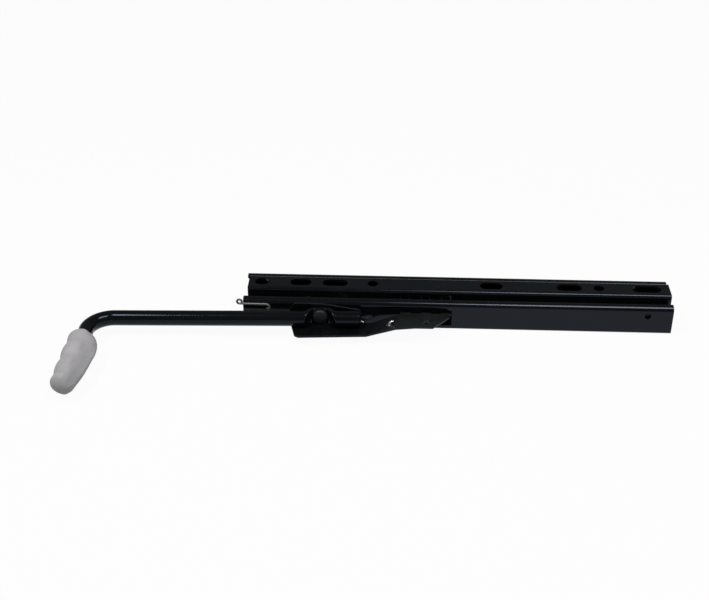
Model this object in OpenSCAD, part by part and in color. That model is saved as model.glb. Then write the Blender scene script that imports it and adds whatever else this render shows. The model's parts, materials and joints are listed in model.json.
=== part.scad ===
// Seat slide rail with release lever, in mm.
// X runs along the rail, Y across it with the lever on the -Y side, Z up.
// The origin is the middle of the lower rail's underside.

/* [Lower rail] */
// Length of the lower rail
rail_len = 360; // [330:1:420]
// Outside width of the lower rail
rail_w = 46.5; // [45.5:0.5:50]
// Height of the lower rail over its lips
rail_h = 25.5; // [25:0.5:28]
// Sheet thickness of both rails
sheet = 2; // [1.6:0.1:2.2]
// Outside radius of the two bottom bends
base_bend = 2.4; // [2.3:0.1:3]
// Outside radius of the bends between wall and lip
lip_bend = 4.5; // [4:0.1:4.8]
// Outside radius of the bends at the lips' inner edges
lip_turn = 2.4; // [2.3:0.1:2.8]
// Width of a lip, from the wall's outside to its inner edge
lip_w = 8.1; // [7.7:0.1:8.6]
// Diameter of the floor bolt holes
floor_hole_d = 9; // [6.6:0.1:11]
// Distance between the floor bolt holes
floor_hole_gap = 260; // [200:1:280]

/* [Upper rail] */
// How much shorter the upper rail is than the lower rail
upper_short = 3; // [0:1:20]
// Offset of the upper rail's middle along X at rest
upper_shift = 1.2; // [0:0.1:5]
// Outside width of the hat
hat_w = 20.6; // [18:0.1:21]
// Height of the hat's top over the floor
hat_top = 29.7; // [29:0.1:33]
// Outside radius of the hat's top bends
hat_bend = 2.4; // [2.3:0.1:3]
// Outside radius of the hook bends
hook_bend = 4; // [3.6:0.1:4.4]
// Height of the middle of the outer hook bend
hook_z = 9.8; // [9.6:0.1:10.1]
// Height of the free edge of the hooks
hook_top = 13.2; // [12.8:0.1:13.3]
// Width of the slots in the top
slot_w = 10; // [6:0.1:11]
// Diameter of the two seat bolt holes
seat_hole_d = 9; // [6.6:0.1:10]

/* [Latch] */
// Distance between neighbouring teeth and notches
tooth_pitch = 17.5; // [16:0.1:19]
// Width of a tooth
tooth_w = 6.8; // [5:0.1:7.2]
// Sideways clearance of a tooth in its notch
notch_gap = 0.4; // [0.3:0.05:0.6]
// Width of the windows for the teeth
window_w = 8.2; // [8:0.1:10]
// Sheet thickness of the latch plate
plate_t = 2; // [1.6:0.1:2.4]
// Gap between the rail wall and the latch plate
plate_gap = 2.6; // [2.3:0.1:3]
// Distance of the pivot from the lower rail's left end
pivot_from_end = 65.6; // [64:0.1:68]
// Height of the pivot over the floor
pivot_z = 15.9; // [15.8:0.1:16.2]
// Tilt of the released lever, grip down
lever_tilt = 0.3; // [0.2:0.1:0.5]

/* [Lever] */
// Diameter of the lever tube
tube_d = 12.9; // [11:0.1:13]
// Wall thickness of the lever tube
tube_wall = 1.5; // [1:0.1:1.7]
// Length of tube left of the pivot, up to the bend
tube_left = 171.5; // [150:0.5:200]
// Bend radius of the tube's middle line
tube_bend = 20.5; // [18:0.5:30]
// Outward lean of the tube towards the grip
tube_lean = 1.5; // [1:0.1:2]
// Length of the grip
grip_len = 76; // [70:1:100]
// Radius of the grip at its swells
grip_r = 11.4; // [10.5:0.1:11.6]
// Diameter of the pivot rivet's shoulder
shoulder_d = 8; // [7:0.1:8.4]
// Running clearance of the lever on the shoulder, on the radius
pivot_play = 0.06; // [0.03:0.01:0.1]

/* [Rolling and sliding pieces] */
// Diameter of the steel balls
ball_d = 5; // [4.8:0.1:5.2]
// Clearance of the balls to the rails
ball_gap = 0.3; // [0.2:0.05:0.4]
// Number of balls in each half of a cage
balls_each = 3; // [2:1:5]
// Clearance of the guide shoes to the lower rail
shoe_gap = 0.35; // [0.3:0.05:0.6]
// Length of a guide shoe
shoe_len = 32; // [20:1:34]

/* [Hidden] */
$fn = 96;
eps = 0.01;
half_w = rail_w / 2;
wall_in = half_w - sheet;
left_end = -rail_len / 2;
pivot_x = left_end + pivot_from_end;
lip_under = rail_h - sheet;
lip_edge_z = rail_h - lip_turn;
ball_y = wall_in - ball_d / 2 - ball_gap;
ball_z = sheet + ball_d / 2 + ball_gap;
hook_reach = hook_bend + ball_d / 2 + ball_gap;
hook_cy = ball_y - sqrt(hook_reach * hook_reach - (hook_z - ball_z) * (hook_z - ball_z));
hook_out = hook_cy + hook_bend;
hook_in = hook_out - sheet;
hook_base = hook_z - hook_bend;
foot_r = 1.5;
hat_half = hat_w / 2;
upper_len = rail_len - upper_short;
upper_left = upper_shift - upper_len / 2;
notch_floor = hook_base + 1.5;
teeth_from_pivot = 88.5;
window_top = 18.6;
window_base = 4.1;
notch_count = 11;
tube_r = tube_d / 2;
web_back = -half_w - plate_gap;
web_front = web_back - plate_t;
tube_y = web_front - tube_r - 0.9;
flat_t = 2 * tube_wall + 0.6;
flat_front = web_front - flat_t;
spring_d = 1.8;
anchor_d = 1.8;
anchor_z = 17.4;

// Extrudes a drawing of Y and Z along X from x0.
module along(x0, length) {
    translate([x0, 0, 0])
        rotate([90, 0, 90])
            linear_extrude(length)
                children();
}

// Quarter of a bent sheet round c, turned by quarter turns.
module bend(c, r_out, quarter) {
    translate(c)
        intersection() {
            difference() {
                circle(r_out);
                circle(r_out - sheet);
            }
            rotate(quarter * 90)
                square(r_out + 1);
        }
}

module both_sides() {
    children();
    mirror([1, 0]) children();
}

module lower_profile() {
    both_sides() {
        translate([-eps, 0])
            square([half_w - base_bend + eps, sheet]);
        bend([half_w - base_bend, base_bend], base_bend, 3);
        translate([wall_in, base_bend])
            square([sheet, rail_h - lip_bend - base_bend]);
        bend([half_w - lip_bend, rail_h - lip_bend], lip_bend, 0);
        translate([half_w - lip_w + lip_turn, lip_under])
            square([lip_w - lip_turn - lip_bend, sheet]);
        bend([half_w - lip_w + lip_turn, lip_edge_z], lip_turn, 1);
    }
}

module upper_profile() {
    both_sides() {
        translate([-eps, hat_top - sheet])
            square([hat_half - hat_bend + eps, sheet]);
        bend([hat_half - hat_bend, hat_top - hat_bend], hat_bend, 0);
        translate([hat_half - sheet, hook_base + sheet + foot_r])
            square([sheet, hat_top - hat_bend - hook_base - sheet - foot_r]);
        bend([hat_half + foot_r, hook_base + sheet + foot_r], sheet + foot_r, 2);
        translate([hat_half + foot_r, hook_base])
            square([hook_cy - hat_half - foot_r, sheet]);
        bend([hook_cy, hook_z], hook_bend, 3);
        translate([hook_in, hook_z])
            square([sheet, hook_top - hook_z]);
    }
}

// Round hole through the near wall.
module wall_hole(x, z, d) {
    translate([x, -half_w - 1, z])
        rotate([-90, 0, 0])
            cylinder(d = d, h = sheet + 2);
}

// Rectangular window in the near wall.
module wall_window(x, width, z0, z1) {
    translate([x - width / 2, -half_w - 1, z0])
        cube([width, sheet + 2, z1 - z0]);
}

module lower_rail() {
    color([0.03, 0.033, 0.037])
        difference() {
            along(left_end, rail_len)
                lower_profile();
            for (i = [-1, 1])
                translate([i * floor_hole_gap / 2, 0, -1])
                    cylinder(d = floor_hole_d, h = sheet + 2);
            wall_hole(left_end + 20, anchor_z, 4);
            wall_hole(pivot_x, pivot_z, 5);
            wall_hole(rail_len / 2 - 21, 17.2, 5.2);
            for (i = [-1, 1])
                wall_window(pivot_x + i * 16, 10, 8.9, window_top + 0.2);
            for (i = [-1, 0, 1])
                wall_window(pivot_x + teeth_from_pivot + i * tooth_pitch, window_w, window_base, window_top);
            wall_window(pivot_x + teeth_from_pivot - tooth_pitch, window_w + 3.6, window_base, window_base + 4.4);
        }
}

// Slot in the top of the upper rail: its middle from the rail's left end, and its length.
module top_slot(from_end, length) {
    r = slot_w / 2;
    translate([upper_left + from_end, 0, hat_top - sheet - 1]) {
        for (i = [-1, 1])
            translate([i * (length / 2 - r), 0, 0])
                cylinder(r = r, h = sheet + 2);
        translate([r - length / 2, -r, 0])
            cube([length - slot_w, slot_w, sheet + 2]);
    }
}

module upper_rail() {
    color([0.03, 0.033, 0.037])
        difference() {
            along(upper_left, upper_len)
                upper_profile();
            top_slot(11.4, 12.2);
            top_slot(44.6, 18.2);
            top_slot(74, 21.5);
            top_slot(upper_len - 150.5, 19.2);
            top_slot(upper_len - 84.8, 21.5);
            top_slot(upper_len - 19.6, 24.2);
            for (from_end = [106, upper_len - 59.7])
                translate([upper_left + from_end, 0, hat_top - sheet - 1])
                    cylinder(d = seat_hole_d, h = sheet + 2);
            for (i = [0:notch_count - 1]) {
                x = pivot_x + teeth_from_pivot + (i - (notch_count - 1) / 2) * tooth_pitch;
                translate([x - tooth_w / 2 - notch_gap, -hook_out - 1, notch_floor])
                    cube([tooth_w + 2 * notch_gap, sheet + 2, hook_top]);
            }
        }
}

// Guide shoe on the +Y hook: a block with a slot that takes the hook's edge.
module shoe(x0) {
    outer = wall_in - 1.8;
    color([0.1, 0.1, 0.1])
        along(x0, shoe_len)
            difference() {
                translate([hook_in - 2, hook_z + 0.6])
                    square([outer - hook_in + 2, lip_edge_z - shoe_gap - hook_z - 0.6]);
                translate([hook_in, 0])
                    square([sheet, hook_top]);
            }
}

module near_front_shoe() {
    mirror([0, 1, 0]) shoe(upper_left + 4);
}

module near_rear_shoe() {
    mirror([0, 1, 0]) shoe(upper_left + upper_len - 4 - shoe_len);
}

module far_front_shoe() {
    shoe(upper_left + 4);
}

module far_rear_shoe() {
    shoe(upper_left + upper_len - 4 - shoe_len);
}

cage_len = rail_len - 140;
cage_t = 1.8;
cage_edge = 1.4;
cage_in = hat_half - 1;
ball_xs = [for (side = [-1, 1], i = [0:balls_each - 1]) side * (cage_len / 2 - 8 - i * 14)];

// Ball cage on the +Y side, a strip under the hook with pockets open towards the wall.
module cage() {
    color([0.02, 0.02, 0.021])
        difference() {
            translate([-cage_len / 2, cage_in, sheet + ball_gap])
                cube([cage_len, wall_in - cage_edge - cage_in, cage_t]);
            for (x = ball_xs)
                translate([x, ball_y, 0])
                    cylinder(d = ball_d + 0.3, h = 2 * ball_z);
        }
}

// Row of balls on the +Y side.
module balls() {
    color([0.6, 0.61, 0.63])
        for (x = ball_xs)
            translate([x, ball_y, ball_z])
                sphere(d = ball_d);
}

module near_cage() {
    mirror([0, 1, 0]) cage();
}

module far_cage() {
    cage();
}

module near_balls() {
    mirror([0, 1, 0]) balls();
}

module far_balls() {
    balls();
}

// Places pieces of the lever, drawn with the pivot as origin of X and Z.
module on_lever() {
    translate([pivot_x, 0, pivot_z])
        rotate([0, -lever_tilt, 0])
            children();
}

flange_top = -tube_r - 0.1;
hook_u = 57.6;
hook_y = -half_w - 15.4;
blade_top = -0.5;
plate_right = teeth_from_pivot + tooth_pitch + 2.2;
blade_far = -half_w - 0.6;
relief_w = 27;
fold_skew = 13;
ramp_start = 48.8;
ramp_end = 71.9;

// Side view of flange, ramp and blade, square to the skewed fold lines.
module blade_side() {
    polygon([
        [-40, flange_top], [ramp_start, flange_top], [ramp_end, blade_top], [plate_right + 20, blade_top],
        [plate_right + 20, blade_top - plate_t], [ramp_end, blade_top - plate_t],
        [ramp_start, flange_top - plate_t], [-40, flange_top - plate_t]
    ]);
}

// Plan of flange, ramp, blade and teeth.
module blade_plan() {
    polygon([
        [-26, web_front - 1], [-20.8, -half_w - 26.9], [-17.6, -half_w - 29.2], [38.4, -half_w - 26],
        [62, -half_w - 24], [79, -half_w - 21.4], [plate_right - 14, -half_w - 21.4],
        [plate_right, -half_w - 5.2], [plate_right, blade_far], [68.5, blade_far],
        [40, -half_w - 7.5], [34, web_front - 1]
    ]);
    for (i = [-1, 0, 1])
        translate([teeth_from_pivot + i * tooth_pitch - tooth_w / 2, blade_far - 1])
            square([tooth_w, half_w + 1.6 - hook_in + 0.6]);
}

module latch_plate() {
    fold = 1.5;
    color([0.03, 0.033, 0.037])
        on_lever()
            difference() {
                union() {
                    intersection() {
                        rotate([0, 0, -fold_skew])
                            translate([0, 2 * half_w, 0])
                                rotate([90, 0, 0])
                                    linear_extrude(5 * half_w)
                                        blade_side();
                        translate([0, 0, -2 * tube_d])
                            linear_extrude(4 * tube_d)
                                blade_plan();
                    }
                    translate([0, web_back, 0])
                        rotate([90, 0, 0])
                            linear_extrude(plate_t)
                                polygon([
                                    [-26, flange_top - plate_t + fold], [-26, 4.2], [-21.6, 10.1], [0.6, 10.1],
                                    [32.6, 4.4], [34, 3], [34, flange_top - plate_t + fold]
                                ]);
                    translate([-26, web_front - 1 - eps, flange_top - plate_t])
                        cube([60, 1 + eps, plate_t]);
                    translate([-26, web_back - fold - eps, flange_top - plate_t + fold])
                        rotate([0, 90, 0])
                            intersection() {
                                cylinder(r = fold, h = 60);
                                translate([0, 0, -1])
                                    cube([fold + 1, fold + 1, 62]);
                            }
                    translate([-26, web_front - eps, flange_top - plate_t])
                        cube([60, plate_t - fold, plate_t]);
                }
                translate([0, web_front - 1, 0])
                    rotate([-90, 0, 0])
                        cylinder(d = shoulder_d + 2 * pivot_play, h = plate_t + 2);
                translate([-relief_w / 2, flat_front - 0.8, -2 * tube_d])
                    cube([relief_w, flat_t + 0.75, 2 * tube_d - tube_r + 1]);
                translate([hook_u, hook_y, -tube_d])
                    cylinder(d = 4.6, h = 2 * tube_d);
                translate([teeth_from_pivot, -half_w - 13.5, -tube_d])
                    cylinder(d = 4.4, h = 2 * tube_d);
            }
}

flat_half = 6.5;
flat_run = 6;
flat_h = tube_r + 2.2;
tube_right = 33.1;
elbow = 89;
stub_len = 4 + 0.75 * grip_len;
bore_r = tube_r - tube_wall;

// Moves onto the tube's middle line at the pivot, with X along the tube.
module on_tube() {
    translate([0, tube_y, 0])
        rotate([0, 0, tube_lean])
            children();
}

// Moves to the end of the bend, with -Y along the grip.
module at_bend_end() {
    on_tube()
        translate([-tube_left, -tube_bend, 0])
            rotate([0, 0, elbow - 90])
                translate([-tube_bend, 0, 0])
                    children();
}

// Elbow of the tube with radius r.
module tube_elbow(r) {
    on_tube()
        translate([-tube_left, -tube_bend, 0])
            rotate([0, 0, 90])
                rotate_extrude(angle = elbow)
                    translate([tube_bend, 0])
                        circle(r = r);
}

module lever_tube() {
    front = tube_y - tube_r;
    run = flat_half + flat_run;
    color([0.03, 0.033, 0.037])
        on_lever()
            difference() {
                union() {
                    difference() {
                        on_tube()
                            translate([-tube_left, 0, 0])
                                rotate([0, 90, 0])
                                    cylinder(r = tube_r, h = tube_left + tube_right);
                        translate([0, 0, -tube_d])
                            linear_extrude(2 * tube_d)
                                polygon([
                                    [-run - 1, front - 1.5], [-run, front - 0.3], [-flat_half, flat_front],
                                    [flat_half, flat_front], [run, front + 0.3], [run + 1, front - 1.5]
                                ]);
                    }
                    translate([0, web_front - 0.05, 0])
                        rotate([90, 0, 0])
                            linear_extrude(flat_t - 0.05)
                                polygon([
                                    [-run, -4], [-flat_half, -flat_h], [flat_half, -flat_h], [run, -4],
                                    [run, 4], [flat_half, flat_h], [-flat_half, flat_h], [-run, 4]
                                ]);
                    tube_elbow(tube_r);
                    at_bend_end()
                        translate([0, 0.5, 0])
                            rotate([90, 0, 0])
                                cylinder(r = tube_r - 0.02, h = stub_len);
                }
                on_tube()
                    translate([-tube_left - 0.3, 0, 0])
                        rotate([0, 90, 0])
                            cylinder(r = bore_r, h = tube_left - run - 1);
                on_tube()
                    translate([run + 1, 0, 0])
                        rotate([0, 90, 0])
                            cylinder(r = bore_r, h = tube_right);
                tube_elbow(bore_r - 0.05);
                at_bend_end()
                    translate([0, 0.3, 0])
                        rotate([90, 0, 0])
                            cylinder(r = bore_r, h = stub_len + 1);
                translate([0, flat_front - 1, 0])
                    rotate([-90, 0, 0])
                        cylinder(d = shoulder_d + 2 * pivot_play, h = flat_t + 2);
            }
}

grip_from = 4;
swell_edges = [0, 0.2 * grip_len, 0.5 * grip_len, 0.8 * grip_len, grip_len];
swell_r = 52;
swell_side = 1.6;

// Half section of the grip's swollen side, along its length.
module grip_swells() {
    intersection() {
        union()
            for (i = [0:3])
                intersection() {
                    translate([grip_r - swell_r, (swell_edges[i] + swell_edges[i + 1]) / 2])
                        circle(r = swell_r, $fn = 360);
                    translate([0, swell_edges[i]])
                        square([grip_r + 1, swell_edges[i + 1] - swell_edges[i]]);
                }
        union() {
            translate([0, 8])
                square([grip_r + 1, grip_len - 16]);
            square([grip_r - 8, grip_len]);
            translate([grip_r - 8, 8])
                circle(r = 8);
            translate([grip_r - 8, grip_len - 8])
                circle(r = 8);
        }
    }
}

module handle_grip() {
    color([0.36, 0.355, 0.36])
        on_lever()
            difference() {
                at_bend_end()
                    translate([0, -grip_from, 0])
                        rotate([90, 0, 0])
                            union() {
                                translate([-swell_side, 0, 0])
                                    rotate_extrude()
                                        grip_swells();
                                translate([swell_side + 0.6, 0, 0])
                                    rotate_extrude()
                                        polygon([
                                            [0, 3], [8, 3], [grip_r - 1, 10], [grip_r - 0.4, 20],
                                            [grip_r - 1.2, 38], [grip_r - 4.6, grip_len - 14], [4, grip_len - 4],
                                            [0, grip_len - 4]
                                        ]);
                            }
                at_bend_end()
                    translate([0, 1, 0])
                        rotate([90, 0, 0])
                            cylinder(r = tube_r, h = stub_len + 1);
            }
}

coil_r = shoulder_d / 2 + 1.9;
coil_y = -half_w - plate_gap / 2;

// Straight round wire between two points.
module wire(a, b, size) {
    d = b - a;
    length = norm(d);
    translate(a)
        rotate([0, acos(d.z / length), atan2(d.y, d.x)])
            cylinder(d = size, h = length, $fn = 32);
}

// Rounded knee between two wires.
module knee(p, size) {
    translate(p) sphere(d = size + 0.1, $fn = 32);
}

module wire_path(points, size = spring_d) {
    for (i = [0:len(points) - 2])
        wire(points[i], points[i + 1], size);
    for (i = [1:len(points) - 2])
        knee(points[i], size);
}

module return_spring() {
    c = coil_r * cos(45);
    color([0.7, 0.71, 0.72])
        on_lever()
            union() {
                translate([0, coil_y, 0])
                    rotate([90, 0, 0])
                        rotate_extrude()
                            translate([coil_r, 0])
                                circle(d = spring_d, $fn = 32);
                wire_path([[-c, coil_y, -c], [-15, coil_y, -c + 1], [-15, -wall_in - 0.2, -c + 1]]);
                wire_path([[c, coil_y, c], [35.6, coil_y, -3.4], [36.4, coil_y - 1.2, -10.4],
                           [hook_u, hook_y, -8.2], [hook_u, hook_y, -0.6], [hook_u + 3.6, hook_y, 0.6]]);
            }
}

module pivot_rivet() {
    head = 3.4;
    color([0.035, 0.037, 0.04])
        translate([pivot_x, 0, pivot_z])
            rotate([90, 0, 0])
                rotate_extrude()
                    polygon([
                        [0, wall_in - 1.1], [3.4, wall_in - 1.1], [4, wall_in - 0.4], [4, wall_in], [2.5, wall_in],
                        [2.5, half_w], [shoulder_d / 2, half_w], [shoulder_d / 2, -flat_front + 0.15],
                        [6.4, -flat_front + 0.15], [6.4, -flat_front + 0.8], [5.2, -flat_front + head],
                        [0, -flat_front + head]
                    ]);
}

module pivot_bush() {
    color([0.6, 0.61, 0.62])
        translate([pivot_x, -half_w, pivot_z])
            rotate([90, 0, 0])
                difference() {
                    cylinder(d = shoulder_d + 2, h = plate_gap - 0.2);
                    translate([0, 0, -1])
                        cylinder(d = shoulder_d, h = plate_gap + 2);
                }
}

module spring_anchor() {
    x0 = left_end;
    y = -half_w - anchor_d / 2 - 0.1;
    eye_r = 2;
    eye_x = x0 - 2.8;
    eye_z = anchor_z + 6.6;
    color([0.7, 0.71, 0.72])
        union() {
            translate([eye_x, y, eye_z])
                rotate([90, -15, 0])
                    rotate_extrude(angle = 285)
                        translate([eye_r, 0])
                            circle(d = anchor_d, $fn = 32);
            knee([eye_x, y, eye_z - eye_r], anchor_d);
            wire_path([[eye_x, y, eye_z - eye_r], [x0 + 20.6, y, anchor_z + 4.6], [x0 + 23.4, y, anchor_z + 2.2],
                       [x0 + 20, y, anchor_z], [x0 + 20, -wall_in + 0.6, anchor_z]], anchor_d);
        }
}

lower_rail();
upper_rail();
near_front_shoe();
near_rear_shoe();
far_front_shoe();
far_rear_shoe();
near_cage();
far_cage();
near_balls();
far_balls();
latch_plate();
lever_tube();
handle_grip();
return_spring();
pivot_rivet();
pivot_bush();
spring_anchor();
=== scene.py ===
"""Looks of a seat slide rail: painted rails, formed tube, moulded grip, wire spring and rivet."""
import json
import math

import bpy
import numpy as np
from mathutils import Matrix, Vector


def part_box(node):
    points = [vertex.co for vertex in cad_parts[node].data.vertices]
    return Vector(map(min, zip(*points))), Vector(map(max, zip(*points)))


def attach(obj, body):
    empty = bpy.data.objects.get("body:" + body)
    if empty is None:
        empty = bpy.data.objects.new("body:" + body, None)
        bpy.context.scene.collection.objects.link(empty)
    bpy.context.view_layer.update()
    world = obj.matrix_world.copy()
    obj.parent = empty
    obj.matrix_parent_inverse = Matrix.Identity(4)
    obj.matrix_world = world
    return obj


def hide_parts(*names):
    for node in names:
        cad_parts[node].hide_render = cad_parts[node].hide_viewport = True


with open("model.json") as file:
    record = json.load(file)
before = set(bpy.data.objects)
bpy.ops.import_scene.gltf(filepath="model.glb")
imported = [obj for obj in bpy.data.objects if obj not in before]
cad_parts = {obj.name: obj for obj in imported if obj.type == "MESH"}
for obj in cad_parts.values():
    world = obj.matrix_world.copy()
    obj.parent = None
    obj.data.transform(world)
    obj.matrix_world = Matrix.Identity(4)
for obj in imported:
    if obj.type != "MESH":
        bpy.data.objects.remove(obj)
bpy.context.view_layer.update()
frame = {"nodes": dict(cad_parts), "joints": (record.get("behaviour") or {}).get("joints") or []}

bl_info = {
    "name": "Seat slide rail looks",
    "version": (1, 0, 0),
    "blender": (4, 5, 0),
    "location": "3D View > Sidebar > Seat rail",
    "description": "Paints the packed seat rail and forms its lever tube, grip, wires and rivet",
    "category": "Object",
}

MM = 0.001
UP = np.array([0, 0, 1])

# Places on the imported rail.
PIVOT = np.array(next(j["pos_m"] for j in frame["joints"] if j["name"] == "lever_turn"))
WALL_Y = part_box("lower_rail")[0].y
RAIL_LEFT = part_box("lower_rail")[0].x
PLATE_FRONT = 4.65 * MM
# Where the painted light on the latch plate's blade starts and where it is full.
BLADE_FROM, BLADE_FULL = 40 * MM, 62 * MM
PLATE_EDGE = 0.5 * MM

# Lever tube: its flat, its rings, and those inside the open end as (depth in mm, share of wall).
FLAT_SQUARENESS = 2.2
FLAT_FRONT = 0.45
FLAT_ROWS_REACH = 1.2
FLAT_ROWS, STRAIGHT_ROWS, BEND_ROWS, TUBE_COLUMNS = 110, 60, 49, 64
TUBE_MOUTH = np.array([(13, 1), (6, 1), (0.3, 1), (0.02, 0.75), (0, 0.3), (0, 0.07)])
STUB_LENGTH, STUB_ROWS = 30 * MM, 12

# Grip: lines of (shares of the length, values); the finger and height lines hold factors.
VALLEYS, VALLEY_WIDTH = (0.21, 0.53, 0.83), 0.085
FINGER_LINE = ([0, 0.1, 0.4, 0.7, 0.9, 1], [0.93, 0.97, 1.0, 1.02, 1.06, 1.04])
PALM_LINE_MM = ([0, 0.06, 0.13, 0.22, 0.45, 0.71, 0.88, 1],
                [8.8, 11.2, 13.2, 14.3, 13.1, 10.6, 7.6, 5.5])
HEIGHT_LINE = ([0, 0.12, 0.4, 0.75, 1], [0.9, 0.98, 1.0, 0.96, 0.86])
SWELL_EDGE = ([0, 0.35, 0.65, 1], [0.5, 0.42, 0.3, 0.05])
SWELL_BEFORE, SWELL_AFTER = 0.25, 0.2
COLLAR_LENGTH, COLLAR_REACH = 5 * MM, 11 * MM
PLAN_END, TOP_END = 7 * MM, 6.2 * MM
PALM_FROM, PALM_FULL = 0.08, 0.4
CREASE_POWER = 6
GRIP_ROWS, GRIP_COLUMNS = 170, 96
GRIP_FROM, GRIP_TO = 0.02, math.pi - 0.001

# Rivet: profile as (radius, distance in front of its seat) in mm, from the head to the tail.
RIVET_PROFILE = np.array([
    (0.4, 3.4), (4.8, 3.3), (5.6, 3.0), (6.2, 2.4), (6.6, 1.5), (6.7, 0.9), (6.6, 0.5), (6.3, 0.25),
    (5.8, 0.15), (4.0, 0.15), (4.0, -8.15), (2.5, -8.15), (2.5, -10.2), (4.0, -10.2), (4.0, -10.6),
    (3.4, -11.3), (0.5, -11.4)])
RIVET_SEAT = 8.2 * MM
RIVET_CUTS, RIVET_COLUMNS = 4, 64

# Stage: softboxes as name, place, width and depth, and power setting; the camera of the photo.
LAMPS = (("left_softbox", (-0.86, -0.42, 1.7), (0.68, 0.5), "left_lamp"),
         ("right_softbox", (0.45, -0.42, 1.7), (1.1, 0.5), "right_lamp"))
CAMERA_PLACE, CAMERA_WAY = (-0.0501, -0.8994, 0.5778), (-0.0347, 0.8463, -0.5317)
FLOOR_HALF = 12.0

# Finishes: the usual range of a noise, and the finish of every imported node.
NOISE_LOW, NOISE_HIGH = 0.3, 0.7
NODE_FINISH = {
    "lower_rail": "rail_paint", "upper_rail": "rail_paint", "latch_plate": "plate_paint",
    "lever_tube": "tube_paint", "pivot_rivet": "rivet_paint", "handle_grip": "grip_finish",
    "return_spring": "zinc_finish", "spring_anchor": "anchor_wire", "pivot_bush": "zinc_finish",
    "near_balls": "ball_finish", "far_balls": "ball_finish",
    "near_cage": "cage_finish", "far_cage": "cage_finish",
    "near_front_shoe": "shoe_finish", "near_rear_shoe": "shoe_finish",
    "far_front_shoe": "shoe_finish", "far_rear_shoe": "shoe_finish",
}


# Settings that a user would change.
class LeverSettings(bpy.types.PropertyGroup):
    """Sizes of the lever tube, its flattened place at the pivot and the wires."""

    tilt: bpy.props.FloatProperty(
        name="Tilt", description="Turn of the released lever about the pivot, grip down",
        default=math.radians(0.3), subtype="ANGLE")
    lean: bpy.props.FloatProperty(
        name="Lean", description="Turn of the tube away from the rail towards the grip",
        default=math.radians(1.5), subtype="ANGLE")
    radius: bpy.props.FloatProperty(
        name="Tube radius", description="Outside radius of the tube",
        default=6.45 * MM, unit="LENGTH")
    wall: bpy.props.FloatProperty(
        name="Tube wall", description="Wall thickness at the open end",
        default=1.5 * MM, unit="LENGTH")
    off_wall: bpy.props.FloatProperty(
        name="Distance to rail", description="Tube axis to rail wall at the pivot",
        default=11.95 * MM, unit="LENGTH")
    left: bpy.props.FloatProperty(
        name="Left length", description="Straight tube from pivot to bend",
        default=171.5 * MM, unit="LENGTH")
    right: bpy.props.FloatProperty(
        name="Right length", description="Straight tube from pivot to open end",
        default=33.1 * MM, unit="LENGTH")
    bend: bpy.props.FloatProperty(
        name="Bend radius", description="Radius of the bend's middle line",
        default=20.5 * MM, unit="LENGTH")
    elbow: bpy.props.FloatProperty(
        name="Bend angle", description="Angle of the bend",
        default=math.radians(89), subtype="ANGLE")
    flat_depth: bpy.props.FloatProperty(
        name="Flat thickness", description="Half thickness of the flattened tube",
        default=1.75 * MM, unit="LENGTH")
    flat_up: bpy.props.FloatProperty(
        name="Flat rise", description="How far the flattened tube spreads upwards",
        default=0.8 * MM, unit="LENGTH")
    flat_down: bpy.props.FloatProperty(
        name="Flat drop", description="How far the flattened tube spreads downwards",
        default=3.4 * MM, unit="LENGTH")
    flat_full: bpy.props.FloatProperty(
        name="Flat length", description="Half length that is fully flat",
        default=6.5 * MM, unit="LENGTH")
    flat_end: bpy.props.FloatProperty(
        name="Flat run-out", description="Half length up to the round tube",
        default=13.5 * MM, unit="LENGTH")
    wire: bpy.props.FloatProperty(
        name="Wire radius", description="Radius of the spring wire",
        default=0.9 * MM, unit="LENGTH")


class GripSettings(bpy.types.PropertyGroup):
    """Sizes of the moulded grip."""

    crease: bpy.props.FloatProperty(
        name="Crease", default=0.36,
        description="Where the sloping palm side starts, as a share of the half width")
    length: bpy.props.FloatProperty(
        name="Length", description="Length of the grip", default=69.6 * MM, unit="LENGTH")
    start: bpy.props.FloatProperty(
        name="Start", description="Distance of the grip from the tube's bend",
        default=9.5 * MM, unit="LENGTH")
    finger: bpy.props.FloatProperty(
        name="Finger side", description="Reach of the finger side from the axis",
        default=10.7 * MM, unit="LENGTH")
    swell: bpy.props.FloatProperty(
        name="Swell", description="Height of the finger swells over the plain palm side",
        default=1.4 * MM, unit="LENGTH")
    height: bpy.props.FloatProperty(
        name="Half height", description="Half height of the grip without its swells",
        default=10.2 * MM, unit="LENGTH")


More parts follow.
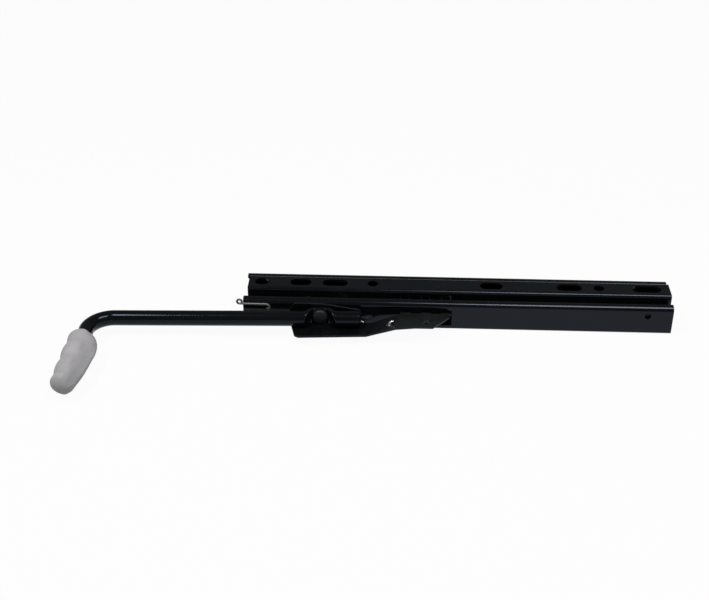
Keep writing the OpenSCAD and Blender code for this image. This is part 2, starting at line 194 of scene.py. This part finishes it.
class FinishSettings(bpy.types.PropertyGroup):
    """Colours of the finishes."""

    rail: bpy.props.FloatVectorProperty(
        name="Rail paint", description="Black paint of the rails and the tube",
        default=(0.0025, 0.0027, 0.0031), subtype="COLOR", size=3, min=0, max=1)
    lever: bpy.props.FloatVectorProperty(
        name="Plate paint", description="Black paint of the latch plate",
        default=(0.0014, 0.0016, 0.0019), subtype="COLOR", size=3, min=0, max=1)
    # Grey green of the blade's painted light; it also tints the plate's dust specks and the rivet
    # paint.
    lit_and_tint: bpy.props.FloatVectorProperty(
        name="Lit paint", description="Grey green that the blade's rubbed paint adds",
        default=(0.0064, 0.0078, 0.0068), subtype="COLOR", size=3, min=0, max=1)
    grip: bpy.props.FloatVectorProperty(
        name="Grip plastic", description="Grey plastic of the grip",
        default=(0.308, 0.301, 0.309), subtype="COLOR", size=3, min=0, max=1)
    wire: bpy.props.FloatVectorProperty(
        name="Zinc wire", description="Bright wire of the return spring",
        default=(0.78, 0.77, 0.76), subtype="COLOR", size=3, min=0, max=1)
    anchor: bpy.props.FloatVectorProperty(
        name="Anchor wire", description="Dull wire of the anchor",
        default=(0.17, 0.165, 0.165), subtype="COLOR", size=3, min=0, max=1)
    ball: bpy.props.FloatVectorProperty(
        name="Ball steel", description="Polished steel of the balls",
        default=(0.62, 0.63, 0.65), subtype="COLOR", size=3, min=0, max=1)
    cage: bpy.props.FloatVectorProperty(
        name="Cage plastic", description="Black plastic of the ball cages",
        default=(0.012, 0.012, 0.013), subtype="COLOR", size=3, min=0, max=1)
    shoe: bpy.props.FloatVectorProperty(
        name="Shoe plastic", description="Black plastic of the guide shoes",
        default=(0.02, 0.02, 0.021), subtype="COLOR", size=3, min=0, max=1)


class StageSettings(bpy.types.PropertyGroup):
    """Light, floor and camera."""

    floor: bpy.props.FloatVectorProperty(
        name="Floor", description="Colour of the floor",
        default=(0.5, 0.5, 0.5), subtype="COLOR", size=3, min=0, max=1)
    white_share: bpy.props.FloatProperty(
        name="White share", description="Share of plain white in what is seen of the floor",
        default=0.95, min=0, max=1, subtype="FACTOR")
    left_lamp: bpy.props.FloatProperty(
        name="Left lamp", description="Power of the left softbox", default=24, unit="POWER")
    right_lamp: bpy.props.FloatProperty(
        name="Right lamp", description="Power of the right softbox", default=23, unit="POWER")
    sky: bpy.props.FloatProperty(
        name="Sky", description="Strength of the even light from all round", default=0.15, min=0)
    lens: bpy.props.FloatProperty(
        name="Lens", description="Focal length on a 36 mm sensor", default=62.83, unit="CAMERA")


# Surface helpers.
def grid_faces(rows, columns):
    """Quads of a grid that is closed along its columns: row i joins row i + 1 and column j joins
    column j + 1."""
    i = np.arange(rows - 1)[:, None] * columns
    j = np.arange(columns)[None, :]
    k = (j + 1) % columns
    return np.stack([i + j, i + k, i + columns + k, i + columns + j], axis=-1).reshape(-1, 4)


def put_piece(name, points, node, body, material):
    """Makes a closed piece from a grid of points (rows, columns, 3): quads between the rows and a
    fan of triangles from the mean of the first and of the last row; it rides on body and replaces
    node."""
    rows, columns = points.shape[:2]
    quads = grid_faces(rows, columns)
    first, last = rows * columns, rows * columns + 1
    j = np.arange(columns)
    k = (j + 1) % columns
    start = np.stack([k, j, np.full(columns, first)], axis=-1)
    tail = (rows - 1) * columns
    end = np.stack([tail + j, tail + k, np.full(columns, last)], axis=-1)
    ends = np.stack([points[0].mean(axis=0), points[-1].mean(axis=0)])
    vertices = np.concatenate([points.reshape(-1, 3), ends])
    mesh = bpy.data.meshes.new(name)
    mesh.from_pydata(vertices.tolist(), [], quads.tolist() + start.tolist() + end.tolist())
    mesh.validate()
    mesh.polygons.foreach_set("use_smooth", np.ones(len(mesh.polygons), dtype=bool))
    mesh.materials.append(bpy.data.materials[material])
    piece = bpy.data.objects.new(name, mesh)
    bpy.context.scene.collection.objects.link(piece)
    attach(piece, body)
    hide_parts(node)
    return piece


def round_angles(columns):
    """Angles of one turn, without the last one, as a row."""
    return np.linspace(0, 2 * math.pi, columns, endpoint=False)[None, :]


def smooth_step(low, high, value):
    """Rises from 0 at low to 1 at high as 3 t^2 - 2 t^3."""
    t = np.clip((value - low) / (high - low), 0, 1)
    return t * t * (3 - 2 * t)


def quarter_round(distance, length):
    """Rises from 0 at distance 0 to 1 at length as a quarter circle: sqrt(1 - (1 - t)^2)."""
    return np.sqrt(np.clip(1 - (1 - np.clip(distance / length, 0, 1)) ** 2, 0, 1))


def smooth_line(at, knots, values):
    """Cubic Hermite line through the knots, with slopes from their neighbours."""
    knots, values = np.asarray(knots, float), np.asarray(values, float)
    slopes = np.gradient(values, knots)
    i = np.clip(np.searchsorted(knots, at) - 1, 0, len(knots) - 2)
    span = knots[i + 1] - knots[i]
    t = np.clip((at - knots[i]) / span, 0, 1)
    rise = (2 * t**3 - 3 * t**2 + 1) * values[i] + (3 * t**2 - 2 * t**3) * values[i + 1]
    return rise + span * ((t**3 - 2 * t**2 + t) * slopes[i] + (t**3 - t**2) * slopes[i + 1])


def lever_to_frame(points):
    """Turns points (u, y, w) of the lever about its pivot by the tilt: x = u cos - w sin and
    z = u sin + w cos."""
    tilt = bpy.context.scene.rail_lever.tilt
    u, y, w = points[..., 0], points[..., 1], points[..., 2]
    x = PIVOT[0] + u * math.cos(tilt) - w * math.sin(tilt)
    z = PIVOT[2] + u * math.sin(tilt) + w * math.cos(tilt)
    return np.stack([x, y, z], axis=-1)


def rounded_path(points, radius, steps=8):
    """Straight line through points with each corner replaced by a quadratic curve that starts and
    ends radius away from it, as (1-t)^2 a + 2 t (1-t) corner + t^2 b."""
    points = np.asarray(points, float)
    before, corner, after = points[:-2], points[1:-1], points[2:]
    back, ahead = before - corner, after - corner
    back_len = np.linalg.norm(back, axis=1, keepdims=True)
    ahead_len = np.linalg.norm(ahead, axis=1, keepdims=True)
    a = corner + back / back_len * np.minimum(radius, 0.45 * back_len)
    b = corner + ahead / ahead_len * np.minimum(radius, 0.45 * ahead_len)
    t = np.linspace(0, 1, steps)[None, :, None]
    curve = (1 - t) ** 2 * a[:, None] + 2 * t * (1 - t) * corner[:, None] + t**2 * b[:, None]
    return np.concatenate([points[:1], curve.reshape(-1, 3), points[-1:]])


def wire_ring(centre_x, y, centre_z, radius, start, end, steps):
    """Arc at a fixed y: x = cx + R cos a and z = cz + R sin a, from start to end in degrees."""
    turn = np.linspace(math.radians(start), math.radians(end), steps)
    x, z = centre_x + radius * np.cos(turn), centre_z + radius * np.sin(turn)
    return np.stack([x, np.full(steps, y), z], axis=-1)


def wire_surface(path, radius, columns=14):
    """Round wire along a path: p + r (cos a n + sin a b), with n square to the path and to a fixed
    slanted direction, and ends drawn in to about half the radius."""
    slant = np.array([0.35, 0.62, 0.7])
    end_out, end_radius = 0.35 * radius, 0.55 * radius
    tangent = np.gradient(path, axis=0)
    tangent /= np.linalg.norm(tangent, axis=1, keepdims=True)
    normal = np.cross(tangent, slant)
    normal /= np.linalg.norm(normal, axis=1, keepdims=True)
    binormal = np.cross(tangent, normal)
    a = round_angles(columns)[..., None]
    ring = np.cos(a) * normal[:, None] + np.sin(a) * binormal[:, None]
    body = path[:, None] + radius * ring
    first = path[:1, None] - tangent[:1, None] * end_out + end_radius * ring[:1]
    last = path[-1:, None] + tangent[-1:, None] * end_out + end_radius * ring[-1:]
    return np.concatenate([first, body, last])


# Surfaces of the pieces.
def tube_line(lever):
    """Middle line of the lever tube from its open end over the bend to inside the grip: straight
    along the leaning axis, an arc about the centre of the bend, then straight on. With it come the
    direction away from the rail, the distance from the pivot along the tube, and the heading and
    the radial direction at the end of the bend."""
    along = np.array([math.cos(lever.lean), math.sin(lever.lean), 0])
    across = np.array([-math.sin(lever.lean), math.cos(lever.lean), 0])
    start = np.array([0, WALL_Y - lever.off_wall, 0])
    fine_to = -FLAT_ROWS_REACH * lever.flat_end
    q = np.concatenate([
        np.linspace(lever.right, fine_to, FLAT_ROWS),
        np.linspace(fine_to, -lever.left, STRAIGHT_ROWS)[1:]])
    straight = start + q[:, None] * along
    angle = math.pi / 2 + np.linspace(0, lever.elbow, BEND_ROWS)[1:]
    radial = np.cos(angle)[:, None] * along + np.sin(angle)[:, None] * across
    centre = start - lever.left * along - lever.bend * across
    turn = centre + lever.bend * radial
    heading = -math.sin(angle[-1]) * along + math.cos(angle[-1]) * across
    stub = turn[-1] + np.linspace(0, STUB_LENGTH, STUB_ROWS)[1:, None] * heading
    line = np.concatenate([straight, turn, stub])
    out = np.concatenate([
        np.tile(-across, (len(q), 1)), -radial, np.tile(-radial[-1], (len(stub), 1))])
    travel = np.concatenate([q, np.full(len(turn) + len(stub), -lever.left)])
    return line, out, travel, heading, radial[-1]


def pressed(lever, distance):
    """Share of the flat at a distance from the rivet: 1 on the flat, falling smoothly to 0 at the
    end of its run-out."""
    return 1 - smooth_step(lever.flat_full, lever.flat_end, distance)


def tube_surface(lever):
    """Tube round its middle line: line + r cos a out + r sin a up. At the rivet the ring is pressed:
    cos and sin get a power below 1, the depth falls to that of the flat, the ring shifts to the
    plate and spreads up and down. The back of the flat fades with the distance along the tube, its
    front with the distance from the rivet. The first rings run inside the open end."""
    line, out, travel, _, _ = tube_line(lever)
    r, rows = lever.radius, len(TUBE_MOUTH)
    inside = r - lever.wall * TUBE_MOUTH[:, 1]
    radius = np.concatenate([inside, np.full(len(line), r)])[:, None]
    travel = np.concatenate([np.full(rows, lever.right), travel])[:, None]
    line = np.concatenate([line[0] - TUBE_MOUTH[:, :1] * MM * np.array([1, 0, 0]), line])
    out = np.concatenate([np.tile(out[:1], (rows, 1)), out])
    a = round_angles(TUBE_COLUMNS)
    back = pressed(lever, np.abs(travel))
    front = pressed(lever, np.hypot(travel, r * np.sin(a)))
    flat = back + smooth_step(0, FLAT_FRONT, np.cos(a)) * (front - back)
    power = 2 / (2 + FLAT_SQUARENESS * flat)
    c = np.sign(np.cos(a)) * np.abs(np.cos(a)) ** power
    s = np.sign(np.sin(a)) * np.abs(np.sin(a)) ** power
    shift = flat * (lever.off_wall - PLATE_FRONT - lever.flat_depth)
    side = (radius + (lever.flat_depth - r) * flat) * c - shift
    up = (radius + np.where(s > 0, lever.flat_up * back, lever.flat_down * back**2)) * s
    return line[:, None] + side[..., None] * out[:, None] + up[..., None] * UP


def grip_surface(grip, lever):
    """Grip round a straight axis: x = (half width + swell) cos a and z = (half height + swell)
    sin a, with half widths and height from smooth lines over the length. The swell is 1 minus three
    bell curves on the finger side. The upper palm side is drawn in to the round meeting of a flat
    top and a straight slope that starts at the crease. Quarter rounds draw both ends in."""
    line, _, _, heading, radial = tube_line(lever)
    bend_end = line[-STUB_ROWS]
    share = 0.5 - 0.5 * np.cos(np.linspace(GRIP_FROM, GRIP_TO, GRIP_ROWS))
    along = share * grip.length
    valleys = sum(np.exp(-((share - place) / VALLEY_WIDTH) ** 2) for place in VALLEYS)
    left = smooth_line(share, *FINGER_LINE) * grip.finger
    right = smooth_line(share, *PALM_LINE_MM) * MM
    tall = smooth_line(share, *HEIGHT_LINE) * grip.height
    neck = lever.radius / COLLAR_REACH
    collar = neck + (1 - neck) * quarter_round(along, COLLAR_LENGTH)
    plan = collar * quarter_round(grip.length - along, PLAN_END)
    top = collar * quarter_round(grip.length - along, TOP_END)
    a = round_angles(GRIP_COLUMNS)
    c, s = np.cos(a), np.sin(a)
    edge = smooth_line(share, *SWELL_EDGE)[:, None]
    finger_side = 1 - smooth_step(edge - SWELL_BEFORE, edge + SWELL_AFTER, c)
    swell = grip.swell * (1 - valleys[:, None]) * finger_side
    wide = np.where(c < 0, left[:, None], right[:, None])
    slope, p = 1 - grip.crease, CREASE_POWER
    corner = (np.abs(s) ** p + (c + slope * np.abs(s)) ** p) ** (-1 / p)
    palm = corner * (1 + s**2 * ((1 + slope**p) ** (1 / p) - 1))
    drawn_in = np.where((c > 0) & (s > 0), palm - 1, 0)
    reach = 1 + drawn_in * smooth_step(PALM_FROM, PALM_FULL, share)[:, None]
    x = (wide + swell) * c * reach * plan[:, None]
    z = (tall[:, None] + swell) * s * reach * top[:, None]
    base = bend_end + (grip.start + along)[:, None] * heading
    return base[:, None] + x[..., None] * -radial + z[..., None] * UP


def spring_path():
    """Middle line of the return spring about the pivot: a leg hooked in the rail's wall, one and a
    half turns round the rivet, and a leg behind the tube, under the ramp and up through it to a
    short hook."""
    coil_r, coil_y = 5.9 * MM, WALL_Y - 1.3 * MM
    corner = coil_r * math.cos(math.pi / 4)
    coil = wire_ring(0, coil_y, 0, coil_r, 225, -315, 60)
    leg_u, leg_w = -15 * MM, MM - corner
    lead = rounded_path(
        [[leg_u, WALL_Y + 1.8 * MM, leg_w], [leg_u, coil_y, leg_w],
         [-corner, coil_y, -corner]], 2 * MM)
    hook_u, hook_y = 57.6 * MM, WALL_Y - 15.4 * MM
    tail = rounded_path(
        [[corner, coil_y, corner], [32 * MM, coil_y, -6.6 * MM],
         [36.4 * MM, coil_y - 1.2 * MM, -10.4 * MM], [hook_u, hook_y, -8.2 * MM],
         [hook_u, hook_y, -0.6 * MM], [hook_u + 3.6 * MM, hook_y, 0.9 * MM]], 2.4 * MM)
    return np.concatenate([lead[:-1], coil, tail[1:]])


def anchor_path(wire_r):
    """Middle line of the anchor wire on the rail's wall: an open eye left of the rail's end, a
    straight run along the wall and a hook that turns back into a hole of the wall."""
    y = WALL_Y - wire_r - 0.1 * MM
    eye_x, eye_z, eye_r = RAIL_LEFT - 2.8 * MM, 24 * MM, 2 * MM
    eye = wire_ring(eye_x, y, eye_z, eye_r, -15, 270, 40)
    hole_x, hole_z = RAIL_LEFT + 20 * MM, 17.4 * MM
    hook = rounded_path(
        [[eye_x, y, eye_z - eye_r], [RAIL_LEFT + 20.6 * MM, y, 22 * MM],
         [RAIL_LEFT + 23.4 * MM, y, 19.6 * MM], [hole_x, y, hole_z],
         [hole_x, WALL_Y + 2.6 * MM, hole_z]], 2 * MM)
    return np.concatenate([eye, hook[1:]])


def rivet_surface():
    """Profile of (radius, height) turned about the pivot: x = r cos a and z = r sin a, with y at
    the height in front of the seat; each side of the profile is cut in equal rows."""
    profile = RIVET_PROFILE * MM
    fine = np.concatenate([
        np.linspace(p, q, RIVET_CUTS, endpoint=False) for p, q in zip(profile[:-1], profile[1:])])
    a = round_angles(RIVET_COLUMNS)
    x = PIVOT[0] + fine[:, :1] * np.cos(a)
    y = np.broadcast_to(WALL_Y - RIVET_SEAT - fine[:, 1:], x.shape)
    z = PIVOT[2] + fine[:, :1] * np.sin(a)
    return np.stack([x, y, z], axis=-1)


# Material helpers.
def new_material(name, settings):
    """Principled material with its constant sockets set; returns its tree and shader."""
    material = bpy.data.materials.new(name)
    material.use_nodes = True
    shader = material.node_tree.nodes["Principled BSDF"]
    for socket, value in settings.items():
        shader.inputs[socket].default_value = value
    return material, material.node_tree, shader


def noise(tree, scale, detail):
    """Noise on Object coordinates."""
    coordinates = tree.nodes.new("ShaderNodeTexCoord")
    texture = tree.nodes.new("ShaderNodeTexNoise")
    texture.inputs["Scale"].default_value = scale
    texture.inputs["Detail"].default_value = detail
    tree.links.new(coordinates.outputs["Object"], texture.inputs["Vector"])
    return texture.outputs["Fac"]


def ramp(tree, value, low, high):
    """Colour ramp over a value, from two (position, colour) stops."""
    node = tree.nodes.new("ShaderNodeValToRGB")
    for element, (position, colour) in zip(node.color_ramp.elements, (low, high)):
        element.position = position
        element.color = (*colour, 1)
    tree.links.new(value, node.inputs["Fac"])
    return node.outputs["Color"]


def clouds(tree, colour, scale, detail, dark, light):
    """Cloudy colour between a darker and a lighter shade of it."""
    return ramp(
        tree, noise(tree, scale, detail),
        (NOISE_LOW, shade(colour, dark)), (NOISE_HIGH, shade(colour, light)))


def spread(tree, value, low, high):
    """Maps a noise value from its usual range onto low to high."""
    node = tree.nodes.new("ShaderNodeMapRange")
    node.inputs["From Min"].default_value = NOISE_LOW
    node.inputs["From Max"].default_value = NOISE_HIGH
    node.inputs["To Min"].default_value = low
    node.inputs["To Max"].default_value = high
    tree.links.new(value, node.inputs["Value"])
    return node.outputs["Result"]


def bump(tree, shader, value, strength, distance):
    """Bumps the shader's normal by a value."""
    node = tree.nodes.new("ShaderNodeBump")
    node.inputs["Strength"].default_value = strength
    node.inputs["Distance"].default_value = distance
    tree.links.new(value, node.inputs["Height"])
    tree.links.new(node.outputs["Normal"], shader.inputs["Normal"])


def shade(colour, factor):
    """Colour times a factor, at most white."""
    return tuple(min(1.0, channel * factor) for channel in colour)


def add_colours(tree, first, second):
    """Sum of two colours."""
    add = tree.nodes.new("ShaderNodeMix")
    add.data_type = "RGBA"
    add.blend_type = "ADD"
    add.inputs["Factor"].default_value = 1
    tree.links.new(first, add.inputs["A"])
    tree.links.new(second, add.inputs["B"])
    return add.outputs["Result"]


def calculate(tree, operation, first, second):
    """One step of sums on two values."""
    node = tree.nodes.new("ShaderNodeMath")
    node.operation = operation
    tree.links.new(first, node.inputs[0])
    tree.links.new(second, node.inputs[1])
    return node.outputs[0]


def along_x(tree, low, high):
    """Rises from 0 at x = low to 1 at x = high on Object coordinates."""
    coordinates = tree.nodes.new("ShaderNodeTexCoord")
    split = tree.nodes.new("ShaderNodeSeparateXYZ")
    rise = tree.nodes.new("ShaderNodeMapRange")
    rise.inputs["From Min"].default_value = low
    rise.inputs["From Max"].default_value = high
    tree.links.new(coordinates.outputs["Object"], split.inputs["Vector"])
    tree.links.new(split.outputs["X"], rise.inputs["Value"])
    return rise.outputs["Result"]


# Finishes.
def paint_material(name, colour, roughness, dust, gloss=0.245):
    """Stoved black paint: cloudy tone, sparse dust, uneven gloss and a fine orange peel."""
    material, tree, shader = new_material(
        name, {"Specular IOR Level": gloss, "Specular Tint": (0.70, 0.80, 1.0, 1.0)})
    tone = clouds(tree, colour, scale=28, detail=5, dark=0.72, light=1.3)
    specks = ramp(tree, noise(tree, scale=900, detail=2), (0.70, (0, 0, 0)), (0.78, dust))
    tree.links.new(add_colours(tree, tone, specks), shader.inputs["Base Color"])
    tree.links.new(
        spread(tree, noise(tree, scale=60, detail=6), *roughness), shader.inputs["Roughness"])
    bump(tree, shader, noise(tree, scale=620, detail=3), strength=0.006, distance=0.0004)
    return material


def plate_material(colour, lit_and_tint):
    """Paint of the latch plate, with painted light on its blade: a cloudy lighter grey green."""
    material = paint_material("plate_paint", colour, (0.24, 0.42), shade(lit_and_tint, 1.5))
    tree = material.node_tree
    base = tree.nodes["Principled BSDF"].inputs["Base Color"]
    # Painted light: a patchy grey green added along the blade for the lighter tone of its lit faces.
    blade = along_x(tree, PIVOT[0] + BLADE_FROM, PIVOT[0] + BLADE_FULL)
    patches = spread(tree, noise(tree, scale=260, detail=5), low=0.5, high=1)
    lit = calculate(tree, "MULTIPLY", blade, patches)
    grey = ramp(tree, lit, (0, (0, 0, 0)), (1, lit_and_tint))
    tree.links.new(add_colours(tree, base.links[0].from_socket, grey), base)


def grip_material(colour):
    """Moulded grey plastic: faint clouds, uneven gloss and a fine matt grain."""
    _, tree, shader = new_material("grip_finish", {"Specular IOR Level": 0.2})
    tone = clouds(tree, colour, scale=45, detail=4, dark=0.94, light=1.05)
    tree.links.new(tone, shader.inputs["Base Color"])
    gloss = spread(tree, noise(tree, scale=120, detail=4), low=0.48, high=0.66)
    tree.links.new(gloss, shader.inputs["Roughness"])
    bump(tree, shader, noise(tree, scale=1500, detail=2), strength=0.12, distance=0.0003)


def metal_material(name, colour, roughness):
    """Bare or zinc-plated metal of wires and balls: cloudy tone, uneven gloss and fine marks."""
    _, tree, shader = new_material(name, {"Metallic": 1.0})
    tone = clouds(tree, colour, scale=400, detail=4, dark=0.82, light=1.1)
    tree.links.new(tone, shader.inputs["Base Color"])
    tree.links.new(
        spread(tree, noise(tree, scale=900, detail=3), *roughness), shader.inputs["Roughness"])
    bump(tree, shader, noise(tree, scale=2500, detail=2), strength=0.03, distance=0.0002)


def plastic_material(name, colour, roughness):
    """Moulded plastic of the inner pieces: cloudy tone, uneven gloss and a fine grain."""
    _, tree, shader = new_material(name, {"Specular IOR Level": 0.4})
    tone = clouds(tree, colour, scale=70, detail=4, dark=0.85, light=1.12)
    tree.links.new(tone, shader.inputs["Base Color"])
    tree.links.new(
        spread(tree, noise(tree, scale=200, detail=3), *roughness), shader.inputs["Roughness"])
    bump(tree, shader, noise(tree, scale=1300, detail=2), strength=0.12, distance=0.0003)


def floor_material(stage):
    """Matt paper; camera, glossy and transmission rays see it mixed with plain white, so that it
    keeps a faint shadow."""
    material, tree, shader = new_material("floor_paper", {
        "Base Color": (*stage.floor, 1), "Roughness": 0.9, "Specular IOR Level": 0.1})
    path = tree.nodes.new("ShaderNodeLightPath")
    seen = path.outputs["Is Camera Ray"]
    for kind in ("Is Glossy Ray", "Is Transmission Ray"):
        seen = calculate(tree, "MAXIMUM", seen, path.outputs[kind])
    part = tree.nodes.new("ShaderNodeMath")
    part.operation = "MULTIPLY"
    part.inputs[1].default_value = stage.white_share
    tree.links.new(seen, part.inputs[0])
    white = tree.nodes.new("ShaderNodeEmission")
    mix = tree.nodes.new("ShaderNodeMixShader")
    tree.links.new(part.outputs[0], mix.inputs["Fac"])
    tree.links.new(shader.outputs[0], mix.inputs[1])
    tree.links.new(white.outputs[0], mix.inputs[2])
    tree.links.new(mix.outputs[0], tree.nodes["Material Output"].inputs["Surface"])
    return material


def soften_edges(node, width):
    """Rounds the cut edges of a sheet part: joins its loose triangles and bevels edges over 40
    degrees. Short edges would hold the bevel back, so overlaps aren't clamped."""
    weld = node.modifiers.new("weld", "WELD")
    weld.merge_threshold = 0.005 * MM
    bevel = node.modifiers.new("bevel", "BEVEL")
    bevel.limit_method = "ANGLE"
    bevel.angle_limit = math.radians(40)
    bevel.width = width
    bevel.segments = 3
    bevel.use_clamp_overlap = False


def look_rotation(way):
    """Rotation that looks along way with the picture's top up."""
    return Vector(way).to_track_quat("-Z", "Y")


def place_looking(name, data, place, way):
    """Object at a place that looks along way."""
    holder = bpy.data.objects.new(name, data)
    holder.location = place
    holder.rotation_mode = "QUATERNION"
    holder.rotation_quaternion = look_rotation(way)
    bpy.context.scene.collection.objects.link(holder)
    return holder


# Steps.
class RAIL_OT_finish_nodes(bpy.types.Operator):
    """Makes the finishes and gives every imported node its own"""

    bl_idname = "seat_rail.finish_nodes"
    bl_label = "Finish the packed nodes"

    def execute(self, context):
        finish = context.scene.rail_finish
        paint_material("rail_paint", finish.rail, (0.09, 0.17), dust=(0.012, 0.012, 0.012))
        plate_material(finish.lever, finish.lit_and_tint)
        paint_material(
            "tube_paint", finish.rail, (0.08, 0.16), dust=(0.008, 0.008, 0.008), gloss=0.19)
        paint_material(
            "rivet_paint", shade(finish.lit_and_tint, 1.3), (0.32, 0.46), dust=(0.02, 0.02, 0.02))
        grip_material(finish.grip)
        metal_material("zinc_finish", finish.wire, (0.22, 0.42))
        metal_material("anchor_wire", finish.anchor, (0.4, 0.55))
        metal_material("ball_finish", finish.ball, (0.06, 0.14))
        plastic_material("cage_finish", finish.cage, (0.4, 0.6))
        plastic_material("shoe_finish", finish.shoe, (0.45, 0.65))
        for name, node in frame["nodes"].items():
            node.data.materials.clear()
            node.data.materials.append(bpy.data.materials[NODE_FINISH[name]])
        soften_edges(frame["nodes"]["latch_plate"], PLATE_EDGE)
        return {"FINISHED"}


class RAIL_OT_lever_tube(bpy.types.Operator):
    """Forms the lever tube with its pressed flat at the pivot, its bend and its open end"""

    bl_idname = "seat_rail.lever_tube"
    bl_label = "Lever tube"

    def execute(self, context):
        points = lever_to_frame(tube_surface(context.scene.rail_lever))
        put_piece("lever_tube_formed", points, "lever_tube", "lever", "tube_paint")
        return {"FINISHED"}


class RAIL_OT_handle_grip(bpy.types.Operator):
    """Moulds the grip with four finger swells on one side and a sloping palm side"""

    bl_idname = "seat_rail.handle_grip"
    bl_label = "Handle grip"

    def execute(self, context):
        points = lever_to_frame(grip_surface(context.scene.rail_grip, context.scene.rail_lever))
        put_piece(
            "handle_grip_moulded", points, "handle_grip", "lever", "grip_finish")
        return {"FINISHED"}


class RAIL_OT_wires(bpy.types.Operator):
    """Bends the return spring round the pivot and the anchor wire at the rail's end"""

    bl_idname = "seat_rail.wires"
    bl_label = "Spring and anchor wires"

    def execute(self, context):
        r = context.scene.rail_lever.wire
        spring = lever_to_frame(wire_surface(spring_path(), r))
        put_piece(
            "return_spring_wire", spring, "return_spring", "lever", "zinc_finish")
        anchor = wire_surface(anchor_path(r), r)
        put_piece(
            "spring_anchor_wire", anchor, "spring_anchor", "lower", "anchor_wire")
        return {"FINISHED"}


class RAIL_OT_pivot_rivet(bpy.types.Operator):
    """Turns the pivot rivet: pressed head with a soft edge, shank through the wall and its tail"""

    bl_idname = "seat_rail.pivot_rivet"
    bl_label = "Pivot rivet"

    def execute(self, context):
        piece = put_piece(
            "pivot_rivet_turned", rivet_surface(), "pivot_rivet", "lower",
            "rivet_paint")
        piece.data.set_sharp_from_angle(angle=math.radians(50))
        return {"FINISHED"}


class RAIL_OT_stage(bpy.types.Operator):
    """Sets the pale floor, the soft lamps, the even sky and the camera"""

    bl_idname = "seat_rail.stage"
    bl_label = "Stage"

    def execute(self, context):
        scene = context.scene
        stage = scene.rail_stage
        half = FLOOR_HALF
        mesh = bpy.data.meshes.new("floor")
        corners = [(-half, -half, 0), (half, -half, 0), (half, half, 0), (-half, half, 0)]
        mesh.from_pydata(corners, [], [(0, 1, 2, 3)])
        mesh.materials.append(floor_material(stage))
        floor = bpy.data.objects.new("floor", mesh)
        scene.collection.objects.link(floor)
        for name, place, size, power in LAMPS:
            lamp = bpy.data.lights.new(name, "AREA")
            lamp.shape = "RECTANGLE"
            lamp.size, lamp.size_y = size
            lamp.energy = getattr(stage, power)
            place_looking(name, lamp, place, [-value for value in place])
        world = bpy.data.worlds.new("studio")
        world.use_nodes = True
        background = world.node_tree.nodes["Background"]
        background.inputs["Color"].default_value = (1, 1, 1, 1)
        background.inputs["Strength"].default_value = stage.sky
        scene.world = world
        camera = bpy.data.cameras.new("camera")
        camera.lens = stage.lens
        camera.sensor_width = 36
        camera.sensor_fit = "HORIZONTAL"
        camera.clip_start, camera.clip_end = 0.01, 60
        scene.camera = place_looking("camera", camera, CAMERA_PLACE, CAMERA_WAY)
        scene.view_settings.view_transform = "Standard"
        return {"FINISHED"}


class RAIL_PT_panel(bpy.types.Panel):
    """Lists the steps that make the seat rail's looks and their settings"""

    bl_idname = "RAIL_PT_panel"
    bl_label = "Seat rail"
    bl_space_type = "VIEW_3D"
    bl_region_type = "UI"
    bl_category = "Seat rail"

    def draw(self, context):
        for step in STEPS:
            self.layout.operator(step.bl_idname)
        for group in GROUPS:
            settings = getattr(context.scene, group)
            box = self.layout.box()
            for name in settings.bl_rna.properties.keys():
                if name not in ("rna_type", "name"):
                    box.prop(settings, name)


GROUPS = {"rail_lever": LeverSettings, "rail_grip": GripSettings, "rail_finish": FinishSettings,
          "rail_stage": StageSettings}
STEPS = (RAIL_OT_finish_nodes, RAIL_OT_lever_tube, RAIL_OT_handle_grip, RAIL_OT_wires,
         RAIL_OT_pivot_rivet, RAIL_OT_stage)


def register():
    for name, group in GROUPS.items():
        bpy.utils.register_class(group)
        setattr(bpy.types.Scene, name, bpy.props.PointerProperty(type=group))
    for step in STEPS:
        bpy.utils.register_class(step)
    bpy.utils.register_class(RAIL_PT_panel)


def unregister():
    bpy.utils.unregister_class(RAIL_PT_panel)
    for step in reversed(STEPS):
        bpy.utils.unregister_class(step)
    for name, group in reversed(GROUPS.items()):
        delattr(bpy.types.Scene, name)
        bpy.utils.unregister_class(group)


def main():
    register()
    bpy.ops.seat_rail.finish_nodes()
    bpy.ops.seat_rail.lever_tube()
    bpy.ops.seat_rail.handle_grip()
    bpy.ops.seat_rail.wires()
    bpy.ops.seat_rail.pivot_rivet()
    bpy.ops.seat_rail.stage()


if __name__ == "__main__":
    main()
